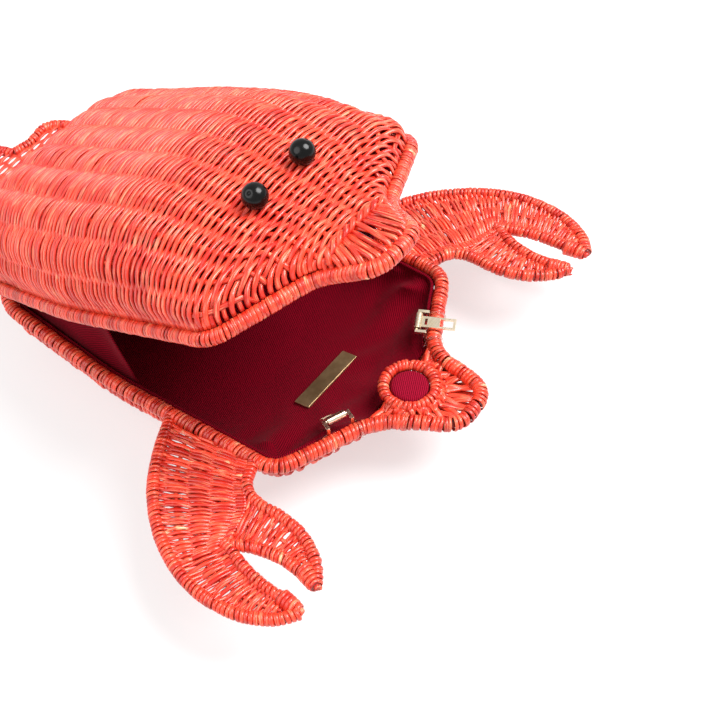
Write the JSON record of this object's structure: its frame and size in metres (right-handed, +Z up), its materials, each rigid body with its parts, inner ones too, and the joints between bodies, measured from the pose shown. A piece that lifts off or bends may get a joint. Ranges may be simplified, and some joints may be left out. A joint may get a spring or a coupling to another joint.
{
  "type": "lobster-shaped wicker clutch bag",
  "caption": "Woven cane clutch bag shaped like a lobster, with a domed hinged lid, lined tray, claws, tail fan, bead eyes, magnet closure and strap links.",
  "frame": {"origin": "middle of the tray's flat floor, on the centre line, 140 mm behind the tip of the tray's snout", "axes": "+X towards the snout, +Y towards the lobster's left, +Z up out of the open tray"},
  "size_m": [0.3206, 0.2774, 0.1566],
  "materials": {
    "coral_cane": "dyed woven rattan core, satin",
    "red_cane": "dyed rattan binding, satin",
    "rattan_pole": "plain rattan",
    "burgundy_twill": "fine twill",
    "black_bead": "gloss",
    "pale_gold": "polished light gold plate",
    "aged_brass": "brushed, antiqued",
    "magnet_steel": "nickel plated",
    "clear_thread": "clear nylon"
  },
  "bodies": {
    "tray": {"tray_shell": "coral_cane", "tray_rim_pole": "rattan_pole", "tray_rim_wrap": "red_cane", "tray_lining": "burgundy_twill", "name_plate": "aged_brass", "tray_snout_web": "red_cane", "closure_ring": "red_cane", "tray_button_cover": "burgundy_twill", "tray_magnet": "magnet_steel", "left_claw_frame": "red_cane", "left_claw_web": "red_cane", "left_claw_rib_1": "red_cane", "left_claw_rib_2": "red_cane", "right_claw_frame": "red_cane", "right_claw_web": "red_cane", "right_claw_rib_1": "red_cane", "right_claw_rib_2": "red_cane", "tail_frame": "red_cane", "tail_web": "red_cane", "left_tail_rib": "red_cane", "right_tail_rib": "red_cane", "left_strap_staple": "pale_gold", "left_thread_loop_1": "clear_thread", "left_thread_loop_2": "clear_thread", "right_strap_staple": "pale_gold", "right_thread_loop_1": "clear_thread", "right_thread_loop_2": "clear_thread", "hinge_tie_1": "red_cane", "hinge_tie_2": "red_cane", "hinge_tie_3": "red_cane", "left_gusset": "burgundy_twill", "right_gusset": "burgundy_twill"},
    "lid": {"lid_shell": "coral_cane", "lid_rim_pole": "rattan_pole", "lid_rim_wrap": "red_cane", "lid_lining": "burgundy_twill", "lid_snout_web": "red_cane", "lid_button_cover": "burgundy_twill", "lid_magnet": "magnet_steel", "left_eye": "black_bead", "right_eye": "black_bead"},
    "left_link": {"left_strap_link": "pale_gold"},
    "right_link": {"right_strap_link": "pale_gold"}
  },
  "joints": [
    {"name": "lid_hinge", "type": "hinge", "parent": "tray", "child": "lid", "pos_m": [-0.098, 0, 0.0469], "axis": [0, -0.9962, -0.0872], "range_deg": [-25.3, 12], "deforming": ["left_gusset", "right_gusset", "hinge_tie_1", "hinge_tie_2", "hinge_tie_3"]},
    {"name": "left_link_hinge", "type": "hinge", "parent": "tray", "child": "left_link", "pos_m": [0.09194, 0.03453, 0.0406], "axis": [0.4313, -0.9022, 0], "range_deg": [0, 230]},
    {"name": "right_link_hinge", "type": "hinge", "parent": "tray", "child": "right_link", "pos_m": [0.09194, -0.03305, 0.0406], "axis": [-0.4313, -0.9022, 0], "range_deg": [-230, 0]}
  ]
}
